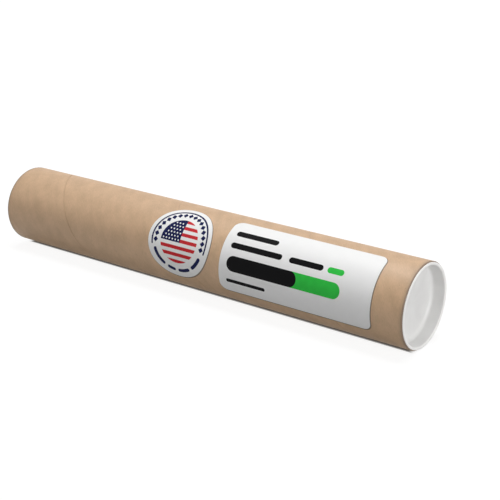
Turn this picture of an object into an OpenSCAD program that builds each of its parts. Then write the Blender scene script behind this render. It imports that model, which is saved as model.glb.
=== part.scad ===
// Spiral-wound kraft mailing tube with two push-in end caps, a paper label and a round sticker.
// The tube stands on end: +Z runs along its axis, the stickers face -Y, and z = 0 is the lower cap's rim.
// All sizes are in millimetres.

/* [Tube] */
// Inside diameter of the tube
tube_bore = 76.2; // [60:0.1:160]
// Thickness of the wound wall
tube_wall = 2.03; // [1.2:0.01:6]
// Clear length inside, between the two plugs
inside_length = 457.2; // [340:0.1:1200]
// Bevel on the cut edges at both ends
tube_bevel = 0.3; // [0.1:0.05:0.5]

/* [Winding seam] */
// Rise of the outer ply's seam in one turn
seam_lead = 154; // [80:1:300]
// Width of the gap between the ply's edges, round the tube
seam_gap = 0.9; // [0.4:0.1:2]
// Depth of that gap
seam_depth = 0.25; // [0.1:0.05:0.6]
// Height above the tube's lower end where the seam first crosses the front
seam_height = 84; // [0:1:150]

/* [End caps] */
// Depth of the plug below the tube's end
plug_depth = 13.5; // [8:0.5:30]
// Gap all round between the plug and the bore
plug_clearance = 0.2; // [0.1:0.05:0.5]
// How much the plug's radius shrinks from its root to its inner end
plug_taper = 0.5; // [0.1:0.1:1.5]
// Radius on the plug's leading edge
plug_lead_in = 1.6; // [0.4:0.1:3]
// Thickness of the plug's wall
cap_wall = 1.2; // [0.8:0.1:3]
// Thickness of the recessed disc
cap_disc = 1.2; // [0.8:0.1:3]
// Radius of the fillet between the wall and the disc
cap_fillet = 3.5; // [0.5:0.1:5]
// Thickness of the rim that seats on the tube's end
rim_thickness = 1.2; // [0.8:0.1:3]
// How far the rim's edge stays inside the tube's outside
rim_inset = 0.8; // [0.1:0.1:1]
// Radius on the rim's outer edges
rim_round = 0.45; // [0.1:0.05:1]
// Radius where the rim turns down into the recess
mouth_round = 1.1; // [0.2:0.1:1.5]

/* [Stickers] */
// Thickness of the sticker paper
sticker_thickness = 0.12; // [0.05:0.01:0.2]
// Thickness of the glue between a sticker and the tube
glue_thickness = 0.05; // [0.02:0.01:0.1]
// Length of the label along the tube
label_length = 164; // [60:1:185]
// Width of the label round the tube
label_width = 75; // [30:1:110]
// Radius of the label's corners
label_corner = 8; // [1:0.5:15]
// Distance from the tube's upper end down to the label
label_margin = 31; // [5:0.5:80]
// Diameter of the round sticker
round_diameter = 75; // [30:1:100]
// Gap along the tube between the label and the round sticker
sticker_gap = 14; // [2:0.5:80]

/* [Hidden] */

// Colours
kraft = "#C8A27B";
cap_white = "#EDEDEB";
paper_white = "#FAFAF8";

// Sides of a full circle
$fn = 128;
// Steps in a rounded corner
corner_steps = 8;
// Steps of the helical seam in one turn, and sides of its section
seam_steps = 72;
seam_sides = 4;
// Largest share of a wall or a side that one rounded edge takes up
edge_share = 0.45;
// Overlap that carries a cut clear of the face it opens through
cut_past = 1;

// Sizes that follow from the ones above
bore_r = tube_bore / 2;
tube_r = bore_r + tube_wall;
tube_length = inside_length + 2 * plug_depth;
tube_base = rim_thickness;
tube_top = tube_base + tube_length;

plug_root_r = bore_r - plug_clearance;
plug_tip_r = plug_root_r - plug_taper;
recess_mouth_r = plug_root_r - cap_wall;
recess_foot_r = plug_tip_r - cap_wall;
recess_floor = cap_disc - plug_depth;
rim_r = tube_r - rim_inset;
rim_edge = min(rim_round, rim_thickness * edge_share);
mouth_edge = min(mouth_round, (rim_r - recess_mouth_r) * edge_share);
lead_in = min(plug_lead_in, plug_depth * edge_share);
foot_fillet = min(cap_fillet, (plug_depth - cap_disc) * edge_share);
paper_r = tube_r + glue_thickness;
corner = min(label_corner, label_width * edge_share);
label_drop = label_margin + label_length / 2;
round_drop = label_margin + label_length + sticker_gap + round_diameter / 2;

// Points of an arc about a centre, from one angle to another
function arc(centre, r, from, to) =
    [for (i = [0:corner_steps])
        let (a = from + (to - from) * i / corner_steps)
        centre + r * [cos(a), sin(a)]];

// Outline of a rectangle with rounded corners, centred on the origin
function rounded_rectangle(w, h, r) =
    let (x = w / 2 - r, y = h / 2 - r)
    concat(
        arc([x, y], r, 0, 90),
        arc([-x, y], r, 90, 180),
        arc([-x, -y], r, 180, 270),
        arc([x, -y], r, 270, 360));

// Outline of a circle centred on the origin
function round_outline(d) =
    [for (i = [0:$fn - 1]) d / 2 * [cos(360 * i / $fn), sin(360 * i / $fn)]];

// Where a point on flat paper, at s round the tube, lands across the tube once it is wrapped
function across(s) = paper_r * sin(s / paper_r * 180 / PI);

// Ring section of the tube's wall with bevelled cut edges
module wall_section() {
    polygon([
        [bore_r, tube_bevel],
        [bore_r + tube_bevel, 0],
        [tube_r - tube_bevel, 0],
        [tube_r, tube_bevel],
        [tube_r, tube_length - tube_bevel],
        [tube_r - tube_bevel, tube_length],
        [bore_r + tube_bevel, tube_length],
        [bore_r, tube_length - tube_bevel]]);
}

// Helical gap where the edges of the outer ply meet, rising to the right across the front
module seam_cut() {
    cut_length = tube_length + 2 * cut_past;
    turn_at_foot = -90 - 360 * (seam_height + cut_past) / seam_lead;
    translate([0, 0, -cut_past])
        rotate([0, 0, turn_at_foot])
        linear_extrude(
            height = cut_length,
            twist = -360 * cut_length / seam_lead,
            slices = ceil(seam_steps * cut_length / seam_lead),
            segments = seam_sides)
        translate([tube_r - seam_depth, -seam_gap / 2])
        square([seam_depth + cut_past, seam_gap]);
}

module tube() {
    color(kraft)
        translate([0, 0, tube_base])
        difference() {
            rotate_extrude() wall_section();
            seam_cut();
        }
}

// Corner piece between two edges at a right angle and the arc that rounds them off
module corner_piece(r) {
    difference() {
        square(r);
        translate([r, r]) circle(r);
    }
}

// Half section of a cap: z = 0 is the tube's end, the plug hangs below it and the rim lies on top
module cap_section() {
    difference() {
        union() {
            polygon([
                [0, -plug_depth],
                [plug_tip_r, -plug_depth],
                [plug_tip_r, lead_in - plug_depth],
                [plug_root_r, 0],
                [rim_r, 0],
                [rim_r, rim_thickness],
                [recess_mouth_r, rim_thickness],
                [recess_mouth_r, rim_thickness - mouth_edge],
                [recess_foot_r, recess_floor + foot_fillet],
                [recess_foot_r, recess_floor],
                [0, recess_floor]]);
            translate([recess_foot_r, recess_floor]) mirror([1, 0]) corner_piece(foot_fillet);
        }
        translate([plug_tip_r, -plug_depth]) mirror([1, 0]) corner_piece(lead_in);
        translate([rim_r, 0]) mirror([1, 0]) corner_piece(rim_edge);
        translate([rim_r, rim_thickness]) rotate(180) corner_piece(rim_edge);
        translate([recess_mouth_r, rim_thickness]) mirror([0, 1]) corner_piece(mouth_edge);
    }
}

module end_cap() {
    color(cap_white) rotate_extrude() cap_section();
}

module top_cap() {
    translate([0, 0, tube_top]) end_cap();
}

module bottom_cap() {
    translate([0, 0, tube_base]) mirror([0, 0, 1]) end_cap();
}

// Paper sticker wrapped on the tube's front, with its middle at a drop below the tube's upper end.
// The outline is that of the flat paper: round the tube, then along it.
module wrapped_sticker(outline, drop) {
    middle = tube_top - drop;
    color(paper_white)
        intersection() {
            difference() {
                cylinder(r = paper_r + sticker_thickness, h = tube_top);
                translate([0, 0, -cut_past]) cylinder(r = paper_r, h = tube_top + 2 * cut_past);
            }
            translate([0, 0, middle])
                rotate([90, 0, 0])
                linear_extrude(height = paper_r + cut_past)
                polygon([for (p = outline) [across(p[0]), p[1]]]);
        }
}

module label() {
    wrapped_sticker(rounded_rectangle(label_width, label_length, corner), label_drop);
}

module round_sticker() {
    wrapped_sticker(round_outline(round_diameter), round_drop);
}

tube();
top_cap();
bottom_cap();
label();
round_sticker();
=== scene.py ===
# Looks of a kraft mailing tube: wound board, moulded caps, two printed stickers, stage, light and camera.
import math

import bmesh
import bpy
from mathutils import Matrix, Vector
from mathutils.geometry import delaunay_2d_cdt


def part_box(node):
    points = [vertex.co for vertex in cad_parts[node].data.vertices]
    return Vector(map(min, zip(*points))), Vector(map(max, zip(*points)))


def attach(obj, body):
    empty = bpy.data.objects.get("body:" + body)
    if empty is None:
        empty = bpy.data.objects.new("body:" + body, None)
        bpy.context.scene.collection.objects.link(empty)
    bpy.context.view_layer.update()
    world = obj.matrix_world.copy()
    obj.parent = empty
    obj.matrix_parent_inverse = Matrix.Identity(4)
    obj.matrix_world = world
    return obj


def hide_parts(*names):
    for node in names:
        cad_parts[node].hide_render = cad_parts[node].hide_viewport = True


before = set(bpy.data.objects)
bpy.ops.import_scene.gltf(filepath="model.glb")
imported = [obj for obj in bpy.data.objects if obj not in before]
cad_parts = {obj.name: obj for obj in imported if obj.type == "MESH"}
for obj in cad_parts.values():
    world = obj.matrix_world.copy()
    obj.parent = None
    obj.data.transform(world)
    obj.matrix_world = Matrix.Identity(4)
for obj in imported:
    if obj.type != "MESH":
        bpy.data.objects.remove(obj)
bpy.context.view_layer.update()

MM = 0.001

# Sizes read from the frame, in metres
TUBE_LOW, TUBE_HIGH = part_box("tube")
LABEL_LOW, LABEL_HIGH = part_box("label")
ROUND_LOW, ROUND_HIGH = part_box("round_sticker")
TUBE_MIDDLE = (TUBE_LOW.z + TUBE_HIGH.z) / 2
TUBE_HALF = (TUBE_HIGH.z - TUBE_LOW.z) / 2
TUBE_R = TUBE_HIGH.x
TUBE_GIRTH = math.tau * TUBE_R

# Wall of the tube, and how many plies show on its cut ends
TUBE_WALL = 2.03 * MM
BORE_R = TUBE_R - TUBE_WALL
PLIES = 5

# Turns are counted from +X, and the front faces -Y, so this many turns lie between the two
FRONT_TURN = 0.25

# Winding of the outer ply: rise in one turn, and where its seam crosses the front
SEAM_LEAD = 154 * MM
SEAM_Z = TUBE_LOW.z + 84 * MM
SEAM_SLOPE = math.atan2(SEAM_LEAD, TUBE_GIRTH)
STRIP_WIDTH = SEAM_LEAD * math.cos(SEAM_SLOPE)

# The stickers' paper lies on a thin layer of glue
GLUE = 0.05 * MM
PAPER = 0.12 * MM
PAPER_R = TUBE_R + GLUE
LABEL_MIDDLE = (LABEL_LOW.z + LABEL_HIGH.z) / 2
LABEL_HALF_LENGTH = (LABEL_HIGH.z - LABEL_LOW.z) / 2
LABEL_HALF_WIDTH = PAPER_R * math.asin(LABEL_HIGH.x / PAPER_R)
LABEL_CORNER = 8 * MM
ROUND_MIDDLE = (ROUND_LOW.z + ROUND_HIGH.z) / 2
ROUND_RADIUS = (ROUND_HIGH.z - ROUND_LOW.z) / 2

# Both stickers: middle, half length, half width and corner radius
STICKERS = (
    (LABEL_MIDDLE, LABEL_HALF_LENGTH, LABEL_HALF_WIDTH, LABEL_CORNER),
    (ROUND_MIDDLE, ROUND_RADIUS, ROUND_RADIUS, ROUND_RADIUS),
)

# Painted shadow as a thin dark line beside the stickers: how far it is shifted to one side, and how far it
# fades out
EDGE_SHADOW_SHIFT = 0.6 * MM
EDGE_SHADOW_FADE = 0.9 * MM

# Grid of a flat sheet, in millimetres: points nearer than MERGE become one point
ROW_STEP = 1.5
COLUMN_STEP = 4.0
MERGE = 0.05
SHARP_ANGLE = math.radians(40)

# Numbers of a sheet's materials: the bare paper, its dark ink and its bright ink
BARE, DARK_INK, BRIGHT_INK = range(3)

# Bars printed on the label, in millimetres from its middle: ink, left end, right end, middle line, height
PRINT_LEFT = -73.5
TOP_LINE = 22
SECOND_LINE = 9.4
FIELD_LINE = -7.8
LAST_LINE = -25
LINE_HEIGHT = 5.6
FIELD_HEIGHT = 14.8
LAST_HEIGHT = 3.6
LABEL_BARS = (
    (DARK_INK, PRINT_LEFT, -26, TOP_LINE, LINE_HEIGHT),
    (DARK_INK, PRINT_LEFT, -16, SECOND_LINE, LINE_HEIGHT),
    (DARK_INK, -8, 28.5, SECOND_LINE, LINE_HEIGHT),
    (BRIGHT_INK, 33, 50, SECOND_LINE, LINE_HEIGHT),
    (BRIGHT_INK, -30, 50.5, FIELD_LINE, FIELD_HEIGHT),
    (DARK_INK, PRINT_LEFT, 4.3, FIELD_LINE, FIELD_HEIGHT),
    (DARK_INK, PRINT_LEFT, -29, LAST_LINE, LAST_HEIGHT),
)

# Print on the round sticker, in millimetres and degrees about its middle
RING_INNER, RING_OUTER = 31.7, 33.4
RING_START, RING_STOP = -12, 194
DIAMONDS = 17
DIAMOND_START, DIAMOND_STOP = -7, 187
DIAMOND_RADIUS = 28.2
DIAMOND_HALF = 2.8
BAND_INNER, BAND_OUTER = 28.0, 31.6
BAND_START = 205
BAND_SWEEPS = (32, 12, 22, 24)
BAND_GAP = 13
CORE_RADIUS = 22.0
CORE_PAST = CORE_RADIUS + 1
STRIPES = 13
STRIPE = 2 * CORE_RADIUS / STRIPES
STRIPE_CORNER = 0.2
FIELD_STRIPES = 7
FIELD_RIGHT = 1.5
FIELD_LOW = CORE_RADIUS - FIELD_STRIPES * STRIPE
DOT_ROWS = 6
DOT_RADIUS = 0.85
DOT_MARGIN = 1.6
DOT_INSET = Vector((2.2, 2.3))
DOT_PITCH = Vector((3.7, 3.4))

# Steps in a turn of each round outline, along the ring line and a band, and in a corner
ROUND_STEPS = 160
CORE_STEPS = 96
DOT_STEPS = 14
RING_STEPS = 60
BAND_STEPS = 24
CORNER_STEPS = 10
STRIPE_CORNER_STEPS = 2

# The tube lies on its side in the room: the room's directions in the tube's own frame
LIE_TURN = math.radians(25.6)
UP = Vector((-math.cos(LIE_TURN), -math.sin(LIE_TURN), 0))
OUT = Vector((math.sin(LIE_TURN), -math.cos(LIE_TURN), 0))
ALONG = Vector((0, 0, 1))

# Places in the room, in metres: along the tube from its lower end, out to the viewer, and up from the axis
FLOOR_PLACE = (0.25, 0, -TUBE_R)
FLOOR_REACH = 12
CAMERA_PLACE = (0.8931, 0.8055, 0.3839)
CAMERA_TARGET = (0.2961, 0, 0.0102)
CAMERA_LENS = 80.45
CAMERA_SENSOR = 36

# Lamps: name, place, target, width and height in metres, and power in watts
LAMPS = (
    ("top_light", (0.25, -0.11, 1.3), (0.25, 0, 0), (1.2, 0.6), 12.8),
    ("left_light", (-0.7, 0.8, 1.0), (0.1, 0, 0), (0.8, 0.8), 1.2),
    ("right_light", (2.9, 1.4, 0.4), (0.48, 0, 0), (1.6, 1.6), 10),
    ("end_light", (1.6, 0.25, 0.12), (0.48, 0, 0), (0.7, 0.7), 6.4),
    ("floor_bounce", (0.0, 1.2, -0.4), (0.15, 0, 0), (0.9, 0.7), 0.9),
    ("back_light", (0.25, -0.9, -1.0), (0.25, 0, 0), (0.9, 0.9), 7),
)

# Strength of the room's own soft light on the object, from straight below and from straight above
LIGHT_BELOW = 0.20
LIGHT_ABOVE = 0.26

# Colours, as linear values
KRAFT_LIGHT = (0.645, 0.418, 0.239, 1)
KRAFT_DARK = (0.480, 0.307, 0.173, 1)
# Darkest kraft: specks, the seam's gap, the darkening towards the ends, and painted shade where the caps
# meet the tube
KRAFT_MARK_AND_SHADE = (0.14, 0.090, 0.055, 1)
KRAFT_INSIDE = (0.38, 0.28, 0.185, 1)
# Painted shadow at the stickers' edges
KRAFT_EDGE_SHADOW = (0.07, 0.048, 0.032, 1)
# Painted highlight on the caps' rims
CAP_RIM_HIGHLIGHT = (0.94, 0.925, 0.910, 1)
CAP_LIGHT = (0.84, 0.835, 0.825, 1)
CAP_DARK = (0.79, 0.785, 0.775, 1)
PAPER_WHITE = (0.89, 0.89, 0.885, 1)
INK_BLACK = (0.004, 0.004, 0.0045, 1)
INK_GREEN = (0.042, 0.62, 0.078, 1)
INK_NAVY = (0.012, 0.018, 0.085, 1)
INK_RED = (0.68, 0.040, 0.048, 1)
FLOOR_MATTE = (0.16, 0.16, 0.16, 1)
WHITE = (1, 1, 1, 1)

# Coated paper and the inks on it: shade of the darkest spots, roughness, shine and the roughness's spread
PAPER_SHADE = 0.985
PAPER_ROUGHNESS = 0.56
PAPER_SHINE = 0.9
INK_ROUGHNESS = 0.42
INK_SHINE = 0.06
ROUGHNESS_SPREAD = 0.06

# Values between which noise mostly lies
NOISE_LOW = 0.3
NOISE_HIGH = 0.7

# First value socket and result socket of a Mix node, by its kind of data
MIX_SOCKETS = {"FLOAT": (2, 0), "RGBA": (6, 2)}


def room_point(along, out, up):
    """A point of the room, in the tube's own frame."""
    return ALONG * (TUBE_LOW.z + along) + OUT * out + UP * up


def aim(thing, target):
    """Turns a camera or a lamp to look at a point, upright in the room."""
    back = (thing.location - target).normalized()
    side = UP.cross(back).normalized()
    turn = Matrix((side, back.cross(side), back)).transposed()
    thing.rotation_mode = "QUATERNION"
    thing.rotation_quaternion = turn.to_quaternion()


def add_object(name, data):
    """A new object in the scene that shows a mesh, a lamp or a camera."""
    made = bpy.data.objects.new(name, data)
    bpy.context.scene.collection.objects.link(made)
    return made


class Shader:
    """The node tree of a material or a world, with short calls for the nodes used here."""

    def __init__(self, owner):
        owner.use_nodes = True
        self.owner = owner
        self.tree = owner.node_tree
        self.surface = self.tree.nodes.get("Principled BSDF")

    def feed(self, socket, value):
        """Links an output to a socket, or sets a plain value on it."""
        if isinstance(value, bpy.types.NodeSocket):
            self.tree.links.new(value, socket)
        else:
            socket.default_value = value

    def set(self, **values):
        """Sets the surface's sockets, named with underscores for spaces."""
        for name, value in values.items():
            self.feed(self.surface.inputs[name.replace("_", " ")], value)

    def node(self, kind, *values, **settings):
        """A new node with its settings, and its first inputs fed in order."""
        made = self.tree.nodes.new("ShaderNode" + kind)
        for name, value in settings.items():
            setattr(made, name, value)
        for socket, value in zip(made.inputs, values):
            self.feed(socket, value)
        return made

    def math(self, operation, *values):
        return self.node("Math", *values, operation=operation).outputs[0]

    def vector_math(self, operation, *vectors):
        """A measure taken from vectors, such as a length."""
        return self.node("VectorMath", *vectors, operation=operation).outputs["Value"]

    def split(self, vector):
        return self.node("SeparateXYZ", vector).outputs[:3]

    def join(self, x, y, z):
        return self.node("CombineXYZ", x, y, z).outputs[0]

    def place(self):
        """The point on the piece, in the tube's own frame."""
        return self.node("TexCoord").outputs["Object"]

    def radius(self, x, y):
        """Distance from the tube's axis."""
        return self.math("SQRT", self.math("MULTIPLY_ADD", x, x, self.math("MULTIPLY", y, y)))

    def reach(self, z):
        """Distance along the axis from the tube's middle."""
        return self.math("ABSOLUTE", self.math("SUBTRACT", z, TUBE_MIDDLE))

    def past(self, value, limit):
        """How far a value is past a limit, or nought."""
        return self.math("MAXIMUM", self.math("SUBTRACT", value, limit), 0.0)

    def weighted(self, *shares):
        """Sum of values, each given after its weight."""
        (weight, value), *others = shares
        total = self.math("MULTIPLY", value, weight)
        for weight, value in others:
            total = self.math("MULTIPLY_ADD", value, weight, total)
        return total

    def noise(self, vector, scale, detail):
        """Cloudy noise, with this many lumps to a metre and levels of detail."""
        made = self.node("TexNoise")
        self.feed(made.inputs["Vector"], vector)
        made.inputs["Scale"].default_value = scale
        made.inputs["Detail"].default_value = detail
        return made.outputs["Fac"]

    def stretched_noise(self, x, y, z, scale_x, scale_y, detail):
        """Noise with its own number of lumps to a unit along x and along y."""
        place = self.join(self.math("MULTIPLY", x, scale_x), self.math("MULTIPLY", y, scale_y), z)
        return self.noise(place, 1, detail)

    def remap(self, value, low, high, to_low=0.0, to_high=1.0):
        """Value from low to high, taken smoothly from to_low to to_high and held outside."""
        made = self.node("MapRange", value, low, high, to_low, to_high, interpolation_type="SMOOTHSTEP")
        return made.outputs["Result"]

    def spread(self, noise, to_low=0.0, to_high=1.0):
        """Noise spread over the whole way from to_low to to_high."""
        return self.remap(noise, NOISE_LOW, NOISE_HIGH, to_low, to_high)

    def mix(self, share, first, second, kind="RGBA"):
        """Two colours or numbers mixed by the share of the second."""
        made = self.node("Mix", data_type=kind)
        start, result = MIX_SOCKETS[kind]
        self.feed(made.inputs["Factor"], share)
        self.feed(made.inputs[start], first)
        self.feed(made.inputs[start + 1], second)
        return made.outputs[result]

    def stain(self, colour, mark, share, strength):
        """A colour with another laid over it, where its share is and with that strength."""
        return self.mix(self.math("MULTIPLY", share, strength), colour, mark)

    def bump(self, height, strength, depth):
        """Small relief on the surface, as deep as the height's full range."""
        made = self.node("Bump")
        made.inputs["Strength"].default_value = strength
        made.inputs["Distance"].default_value = depth
        self.feed(made.inputs["Height"], height)
        self.set(Normal=made.outputs["Normal"])

    def open_share(self, distance, samples):
        """Share of open room over a point, with only what is nearer than a distance in the way."""
        made = self.node("AmbientOcclusion", samples=samples)
        made.inputs["Distance"].default_value = distance
        return made.outputs["AO"]

    def ray(self, name):
        """One for rays of the named kind."""
        return self.node("LightPath").outputs[name]

    def seen(self):
        """One where the stage is looked at: by the eye, in a reflection or through something clear."""
        looked_at = self.math("MAXIMUM", self.ray("Is Camera Ray"), self.ray("Is Glossy Ray"))
        return self.math("MAXIMUM", looked_at, self.ray("Is Transmission Ray"))


def strip_place(shader, turn, z):
    """Place on the flat strip before it was wound: along it, across it, and in from its nearer edge."""
    rise = shader.math("DIVIDE", shader.math("SUBTRACT", z, SEAM_Z), SEAM_LEAD)
    lap = shader.math("SUBTRACT", rise, shader.math("ADD", turn, FRONT_TURN))
    share = shader.math("FRACT", lap)
    wound = shader.math("ADD", turn, shader.math("FLOOR", lap))
    run = shader.math("MULTIPLY", wound, TUBE_GIRTH * math.cos(SEAM_SLOPE))
    along = shader.math("MULTIPLY_ADD", z, math.sin(SEAM_SLOPE), run)
    across = shader.math("MULTIPLY", share, STRIP_WIDTH)
    edge = shader.math("MULTIPLY", shader.math("PINGPONG", share, 0.5), STRIP_WIDTH)
    return along, across, edge


def sticker_edge_shadow(shader, turn, z):
    """Share of painted shadow that shows as a thin dark line round the stickers, most on their low and right
    sides.
    """
    round_arc = shader.math("MULTIPLY", shader.math("ADD", turn, FRONT_TURN), TUBE_GIRTH)
    side = shader.math("ABSOLUTE", shader.math("SUBTRACT", round_arc, EDGE_SHADOW_SHIFT))
    marks = []
    for middle, half_length, half_width, corner in STICKERS:
        rise = shader.math("ABSOLUTE", shader.math("SUBTRACT", z, middle + EDGE_SHADOW_SHIFT))
        past_end = shader.past(rise, half_length - corner)
        past_side = shader.past(side, half_width - corner)
        reach = shader.vector_math("LENGTH", shader.join(past_end, past_side, 0.0))
        marks.append(shader.remap(reach, corner + EDGE_SHADOW_FADE, corner))
    return shader.math("MAXIMUM", *marks)


def end_darkening(shader, paper, radius, z):
    """Darkens the board towards its ends; the cut ends are darker and show the plies as rings, and painted
    shade runs on over the last millimetre of the outside, where the caps meet the tube.
    """
    reach = shader.reach(z)
    # The board darkens over the last few millimetres towards each end
    near_end = shader.remap(reach, TUBE_HALF - 5 * MM, TUBE_HALF)
    paper = shader.stain(paper, KRAFT_MARK_AND_SHADE, near_end, strength=0.35)
    # Darker cut ends, and painted shade on the outside beside them where the caps meet the tube
    cut = shader.remap(reach, TUBE_HALF - 1.4 * MM, TUBE_HALF - 0.4 * MM)
    plies = shader.math("PINGPONG", shader.math("MULTIPLY", radius, PLIES / TUBE_WALL), 0.5)
    ply_rings = shader.math("MULTIPLY_ADD", plies, 0.5, 0.6)
    return shader.stain(paper, KRAFT_MARK_AND_SHADE, cut, strength=ply_rings)


def kraft_material():
    """Wound kraft board: fibres and streaks run along the strip, and only its seam breaks them."""
    shader = Shader(bpy.data.materials.new("kraft_board"))
    x, y, z = shader.split(shader.place())
    turn = shader.math("DIVIDE", shader.math("ARCTAN2", y, x), math.tau)
    along, across, edge = strip_place(shader, turn, z)

    # Colour of the paper: clouds, streaks of the paper machine, single fibres and dark specks
    flat = shader.join(along, across, 0.0)
    clouds = shader.noise(flat, scale=60, detail=5)
    streaks = shader.stretched_noise(along, across, 0.0, scale_x=12, scale_y=130, detail=3)
    fibres = shader.stretched_noise(along, across, 0.0, scale_x=300, scale_y=1500, detail=4)
    specks = shader.remap(shader.noise(flat, scale=640, detail=2), low=0.66, high=0.78)
    tone = shader.weighted((0.40, clouds), (0.22, streaks), (0.38, fibres))
    paper = shader.mix(shader.spread(tone), KRAFT_DARK, KRAFT_LIGHT)
    paper = shader.stain(paper, KRAFT_MARK_AND_SHADE, specks, strength=0.35)

    # The seam's gap is darker than the ply beside it, and a painted shadow darkens the kraft at the
    # stickers' edges
    seam = shader.remap(edge, 0.9 * MM, 0.2 * MM)
    paper = shader.stain(paper, KRAFT_MARK_AND_SHADE, seam, strength=0.12)
    paper = shader.stain(paper, KRAFT_EDGE_SHADOW, sticker_edge_shadow(shader, turn, z), strength=0.9)

    # The inside ply is greyer, and its own seam lies half a strip away from the outer one
    radius = shader.radius(x, y)
    inside = shader.remap(radius, BORE_R + 0.25 * MM, BORE_R + 0.05 * MM)
    paper = shader.stain(paper, KRAFT_INSIDE, inside, strength=0.8)
    inner_seam = shader.remap(edge, STRIP_WIDTH / 2 - 1.1 * MM, STRIP_WIDTH / 2 - 0.3 * MM)
    paper = shader.stain(paper, KRAFT_MARK_AND_SHADE, inside, strength=shader.math("MULTIPLY", inner_seam, 0.6))

    tooth = shader.noise(flat, scale=900, detail=3)
    shader.bump(shader.weighted((0.4, tooth), (0.6, fibres)), strength=0.35, depth=0.06 * MM)
    shader.set(
        Base_Color=end_darkening(shader, paper, radius, z),
        Roughness=shader.spread(tone, to_low=0.58, to_high=0.50),
        Specular_IOR_Level=1.0)
    return shader.owner


def cap_material():
    """Moulded white polyethylene, slightly waxy, with faint flow marks out from the middle."""
    shader = Shader(bpy.data.materials.new("cap_polyethylene"))
    place = shader.place()
    x, y, z = shader.split(place)
    angle = shader.math("ARCTAN2", y, x)
    flow = shader.stretched_noise(angle, shader.radius(x, y), z, scale_x=4, scale_y=60, detail=4)
    clouds = shader.noise(place, scale=70, detail=3)
    grain = shader.noise(place, scale=1500, detail=3)
    tone = shader.weighted((0.5, clouds), (0.5, flow))
    moulded = shader.mix(shader.spread(tone), CAP_DARK, CAP_LIGHT)

    # A painted highlight makes the thin rim that stands past the tube's ends the palest part
    rim = shader.remap(shader.reach(z), TUBE_HALF - 0.4 * MM, TUBE_HALF + 0.6 * MM)
    shader.bump(grain, strength=0.25, depth=0.03 * MM)
    shader.set(
        Base_Color=shader.mix(rim, moulded, CAP_RIM_HIGHLIGHT),
        Roughness=shader.spread(tone, to_low=0.36, to_high=0.28),
        Subsurface_Weight=0.12,
        Subsurface_Radius=(3 * MM, 3 * MM, 3 * MM),
        Subsurface_Scale=1.0)
    return shader.owner


def paper_material(name, colour, shade, roughness, shine):
    """Sticker paper or a print on it: a fine tooth in the surface and a slightly uneven tone."""
    shader = Shader(bpy.data.materials.new(name))
    place = shader.place()
    tooth = shader.noise(place, scale=2200, detail=3)
    clouds = shader.noise(place, scale=120, detail=4)
    darker = tuple(value * shade for value in colour[:3]) + (1,)
    shader.bump(tooth, strength=0.2, depth=0.02 * MM)
    shader.set(
        Base_Color=shader.mix(shader.spread(clouds), darker, colour),
        Roughness=shader.spread(tooth, roughness + ROUGHNESS_SPREAD, roughness - ROUGHNESS_SPREAD),
        Specular_IOR_Level=shine)
    return shader.owner


def ink_material(name, colour, shade):
    """Ink, smoother and duller than the paper that it is printed on."""
    return paper_material(name, colour, shade, INK_ROUGHNESS, INK_SHINE)


def spoke(angle):
    """A step of one away from the origin, at an angle in degrees."""
    return Vector((math.cos(math.radians(angle)), math.sin(math.radians(angle))))


def arc(centre, radius, start, stop, steps):
    """Points of an arc, its angles in degrees."""
    return [centre + radius * spoke(start + (stop - start) * i / steps) for i in range(steps + 1)]


def disc(centre, radius, steps):
    """Outline of a circle."""
    return arc(centre, radius, 0, 360, steps)[:-1]


def rounded_box(left, right, low, high, corner, steps=CORNER_STEPS):
    """Outline of a rectangle with rounded corners."""
    spots = ((right, high, 0), (left, high, 90), (left, low, 180), (right, low, 270))
    outline = []
    for x, y, start in spots:
        inward_x = math.copysign(corner, left + right - 2 * x)
        inward_y = math.copysign(corner, low + high - 2 * y)
        centre = Vector((x + inward_x, y + inward_y))
        outline += arc(centre, corner, start, start + 90, steps)
    return outline


def bar(left, right, middle, height):
    """A straight bar with round ends."""
    half = height / 2
    right_end = arc(Vector((right - half, middle)), half, -90, 90, 2 * CORNER_STEPS)
    left_end = arc(Vector((left + half, middle)), half, 90, 270, 2 * CORNER_STEPS)
    return right_end + left_end


def diamond(turn, radius, half):
    """A small diamond that points away from the origin, its turn in degrees."""
    outward = spoke(turn)
    sideways = outward.orthogonal()
    return [radius * outward + half * corner for corner in (outward, sideways, -outward, -sideways)]


def arc_band(inner, outer, start, stop, steps):
    """A bent bar about the origin with round ends."""
    origin = Vector((0, 0))
    radius = (inner + outer) / 2
    half = (outer - inner) / 2
    outline = arc(origin, outer, start, stop, steps)
    outline += arc(radius * spoke(stop), half, stop, stop + 180, CORNER_STEPS)[1:-1]
    outline += arc(origin, inner, stop, start, steps)
    outline += arc(radius * spoke(start), half, start + 180, start + 360, CORNER_STEPS)[1:-1]
    return outline


def grid_rows(paper, first):
    """Rows of points over the paper and past its ends, and their edges, with points numbered from first."""
    reach_x = max(point.x for point in paper) + COLUMN_STEP
    reach_y = max(point.y for point in paper)
    columns = round(2 * reach_x / COLUMN_STEP)
    rows = round(2 * reach_y / ROW_STEP)
    points = []
    edges = []
    for row in range(1, rows):
        start = first + len(points)
        y = reach_y * (2 * row / rows - 1)
        points += [Vector((reach_x * (2 * i / columns - 1), y)) for i in range(columns + 1)]
        edges += [(start + i, start + i + 1) for i in range(columns)]
    return points, edges


def ink_within(held, print_fields):
    """Ink of a triangle that lies in these outlines: that of the last field over it."""
    ink = BARE
    face = 1
    for field_ink, _, within in print_fields:
        if face in held and (within is None or face + 1 in held):
            ink = field_ink
        face += 1 if within is None else 2
    return ink


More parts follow.
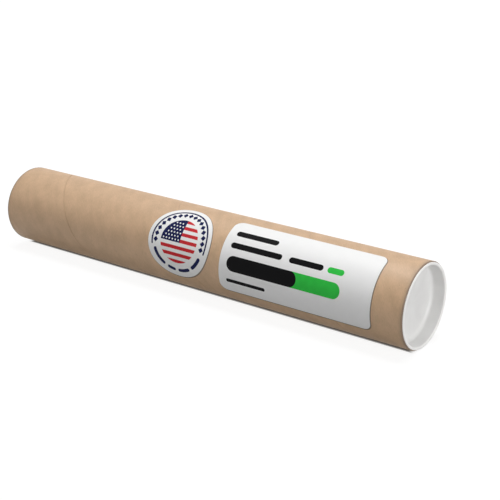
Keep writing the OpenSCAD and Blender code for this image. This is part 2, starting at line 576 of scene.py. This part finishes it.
def flat_sheet(paper, print_fields):
    """Cuts flat paper into triangles along every outline, and gives each one its ink.

    A print field is an ink's number, an outline and the outline that it is kept within, or None."""
    outlines = [paper]
    for _, outline, within in print_fields:
        outlines += [outline] if within is None else [outline, within]
    points = []
    faces = []
    for outline in outlines:
        faces.append(list(range(len(points), len(points) + len(outline))))
        points += outline
    row_points, edges = grid_rows(paper, len(points))
    made, _, triangles, _, _, owners = delaunay_2d_cdt(points + row_points, edges, faces, 0, MERGE)
    kept = []
    inks = []
    for triangle, held in zip(triangles, owners):
        if 0 in held:
            kept.append(triangle)
            inks.append(ink_within(held, print_fields))
    return made, kept, inks


def wrap(point, radius, middle):
    """Bends a point of flat paper, in millimetres, on to the tube's front."""
    turn = point.y * MM / PAPER_R
    return Vector((-radius * math.sin(turn), -radius * math.cos(turn), middle + point.x * MM))


def wrapped_shell(sheet, middle):
    """The sheet bent round the tube, with its printed front, its back and its cut edge."""
    points, triangles, inks = sheet
    shell = bmesh.new()
    front = [shell.verts.new(wrap(point, PAPER_R + PAPER, middle)) for point in points]
    back = [shell.verts.new(wrap(point, PAPER_R, middle)) for point in points]
    used = {}
    for triangle, ink in zip(triangles, inks):
        face = shell.faces.new([front[i] for i in triangle])
        face.material_index = ink
        shell.faces.new([back[i] for i in reversed(triangle)])
        for i, j in zip(triangle, triangle[1:] + triangle[:1]):
            used[i, j] = True
    for i, j in used:
        if (j, i) not in used:
            shell.faces.new([front[j], front[i], back[i], back[j]])
    bmesh.ops.delete(shell, geom=[v for v in shell.verts if not v.link_faces], context="VERTS")
    for face in shell.faces:
        face.smooth = True
    for edge in shell.edges:
        edge.smooth = edge.calc_face_angle(0) < SHARP_ANGLE
    return shell


def add_sticker(name, node, sheet, middle, materials):
    """A printed sheet of paper on the tube, in place of its CAD node."""
    shell = wrapped_shell(sheet, middle)
    mesh = bpy.data.meshes.new(name)
    shell.to_mesh(mesh)
    shell.free()
    for material in materials:
        mesh.materials.append(material)
    sticker = add_object(name, mesh)
    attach(sticker, "tube")
    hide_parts(node)


def add_label(paper, black, green):
    """Label with heading bars, a two-tone field with round ends and a short line below."""
    half_length = LABEL_HALF_LENGTH / MM
    half_width = LABEL_HALF_WIDTH / MM
    outline = rounded_box(-half_length, half_length, -half_width, half_width, LABEL_CORNER / MM)
    fields = [(ink, bar(*sizes), None) for ink, *sizes in LABEL_BARS]
    sheet = flat_sheet(outline, fields)
    inks = [paper, black, green]
    add_sticker("printed_label", "label", sheet, LABEL_MIDDLE, inks)


def rim_print():
    """Print fields round the edge of the round sticker: a ring line, diamonds and plain bands."""
    ring = arc_band(RING_INNER, RING_OUTER, RING_START, RING_STOP, RING_STEPS)
    fields = [(DARK_INK, ring, None)]
    sweep = DIAMOND_STOP - DIAMOND_START
    for i in range(DIAMONDS):
        turn = DIAMOND_START + sweep * i / (DIAMONDS - 1)
        fields.append((DARK_INK, diamond(turn, DIAMOND_RADIUS, DIAMOND_HALF), None))
    start = BAND_START
    for sweep in BAND_SWEEPS:
        band = arc_band(BAND_INNER, BAND_OUTER, start, start + sweep, BAND_STEPS)
        fields.append((DARK_INK, band, None))
        start += sweep + BAND_GAP
    return fields


def core_print():
    """Print fields of the disc in the middle: every other stripe, and a dark corner field with bare dots."""
    core = disc(Vector((0, 0)), CORE_RADIUS, CORE_STEPS)
    fields = []
    for i in range(0, STRIPES, 2):
        low = i * STRIPE - CORE_RADIUS
        sides = (-CORE_PAST, CORE_PAST, low, low + STRIPE)
        fields.append((BRIGHT_INK, rounded_box(*sides, STRIPE_CORNER, STRIPE_CORNER_STEPS), core))
    sides = (-CORE_PAST, FIELD_RIGHT, FIELD_LOW, CORE_PAST)
    fields.append((DARK_INK, rounded_box(*sides, STRIPE_CORNER, STRIPE_CORNER_STEPS), core))
    for row in range(DOT_ROWS):
        for i in range(DOT_ROWS):
            x = FIELD_RIGHT - DOT_INSET.x - DOT_PITCH.x * (i + row % 2 / 2)
            spot = Vector((x, FIELD_LOW + DOT_INSET.y + DOT_PITCH.y * row))
            if spot.length < CORE_RADIUS - DOT_MARGIN:
                fields.append((BARE, disc(spot, DOT_RADIUS, DOT_STEPS), None))
    return fields


def add_round_sticker(paper, navy, red):
    """Round sticker with a printed rim round a disc of stripes and dots."""
    outline = disc(Vector((0, 0)), ROUND_RADIUS / MM, ROUND_STEPS)
    sheet = flat_sheet(outline, rim_print() + core_print())
    inks = [paper, navy, red]
    add_sticker("printed_round_sticker", "round_sticker", sheet, ROUND_MIDDLE, inks)


def dress(node, material):
    """Gives a CAD node a new material."""
    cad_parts[node].material_slots[0].material = material


def floor_strength(shader):
    """How bright the floor is drawn: white, dark where the tube touches it, and shaded in reflections."""
    place = shader.place()
    _, _, z = shader.split(place)
    past_end = shader.remap(shader.reach(z), TUBE_HALF - 8 * MM, TUBE_HALF)
    contact = shader.open_share(distance=3 * MM, samples=16)
    line = shader.math("MAXIMUM", shader.remap(contact, 0.4, 0.9, to_low=0.05), past_end)
    away = shader.vector_math("DISTANCE", place, room_point(*FLOOR_PLACE))
    white = shader.remap(away, 0.4, 1.6, to_low=0.90)
    nearby = shader.open_share(distance=60 * MM, samples=8)
    mirrored = shader.remap(nearby, 0.3, 1.0, to_low=0.2, to_high=0.95)
    drawn = shader.math("MULTIPLY", line, white)
    return shader.mix(shader.ray("Is Glossy Ray"), drawn, mirrored, kind="FLOAT")


def floor_material():
    """White floor that keeps the tube's shadow, and is clear from below and to the light itself."""
    shader = Shader(bpy.data.materials.new("floor_white"))
    shader.tree.nodes.remove(shader.surface)
    glow = shader.node("Emission", WHITE, floor_strength(shader))
    matte = shader.node("BsdfDiffuse", FLOOR_MATTE)
    lit = shader.node("AddShader", glow.outputs[0], matte.outputs[0])
    from_above = shader.math("SUBTRACT", 1.0, shader.node("NewGeometry").outputs["Backfacing"])
    drawn = shader.math("MULTIPLY", shader.seen(), from_above)
    clear = shader.node("BsdfTransparent")
    both = shader.node("MixShader", drawn, clear.outputs[0], lit.outputs[0])
    shader.feed(shader.tree.nodes["Material Output"].inputs["Surface"], both.outputs[0])
    return shader.owner


def add_floor():
    """Wide floor under the lying tube, with its face up."""
    mesh = bpy.data.meshes.new("floor")
    rest = room_point(*FLOOR_PLACE)
    corners = []
    for a, o in ((-1, -1), (-1, 1), (1, 1), (1, -1)):
        corners.append(rest + ALONG * a * FLOOR_REACH + OUT * o * FLOOR_REACH)
    mesh.from_pydata(corners, [], [(0, 1, 2, 3)])
    if mesh.polygons[0].normal.dot(UP) < 0:
        mesh.flip_normals()
    mesh.materials.append(floor_material())
    floor = add_object("floor", mesh)


def set_world():
    """White to the eye and in reflections, and a soft light on the object that is stronger from above."""
    world = bpy.data.worlds.new("studio")
    bpy.context.scene.world = world
    shader = Shader(world)
    direction = shader.node("TexCoord").outputs["Generated"]
    height = shader.vector_math("DOT_PRODUCT", direction, UP)
    light = shader.node("MapRange", height, -1.0, 1.0, LIGHT_BELOW, LIGHT_ABOVE).outputs["Result"]
    background = shader.tree.nodes["Background"]
    background.inputs["Color"].default_value = WHITE
    shader.feed(background.inputs["Strength"], shader.math("MAXIMUM", shader.seen(), light))


def add_lamp(name, place, target, size, power):
    """A soft rectangular lamp."""
    lamp = bpy.data.lights.new(name, "AREA")
    lamp.shape = "RECTANGLE"
    lamp.size, lamp.size_y = size
    lamp.energy = power
    made = add_object(name, lamp)
    made.location = room_point(*place)
    aim(made, room_point(*target))


def add_camera():
    """The view that the tube is known from: from the right, a little above."""
    camera = add_object("camera", bpy.data.cameras.new("camera"))
    camera.data.sensor_width = CAMERA_SENSOR
    camera.data.lens = CAMERA_LENS
    camera.location = room_point(*CAMERA_PLACE)
    aim(camera, room_point(*CAMERA_TARGET))
    bpy.context.scene.camera = camera


dress("tube", kraft_material())
plastic = cap_material()
dress("top_cap", plastic)
dress("bottom_cap", plastic)

white_paper = paper_material("sticker_paper", PAPER_WHITE, PAPER_SHADE, PAPER_ROUGHNESS, PAPER_SHINE)
black_ink = ink_material("ink_black", INK_BLACK, shade=0.80)
green_ink = ink_material("ink_green", INK_GREEN, shade=0.93)
navy_ink = ink_material("ink_navy", INK_NAVY, shade=0.85)
red_ink = ink_material("ink_red", INK_RED, shade=0.92)
add_label(white_paper, black_ink, green_ink)
add_round_sticker(white_paper, navy_ink, red_ink)

add_floor()
set_world()
for lamp_values in LAMPS:
    add_lamp(*lamp_values)
add_camera()
bpy.context.scene.view_settings.view_transform = "Standard"
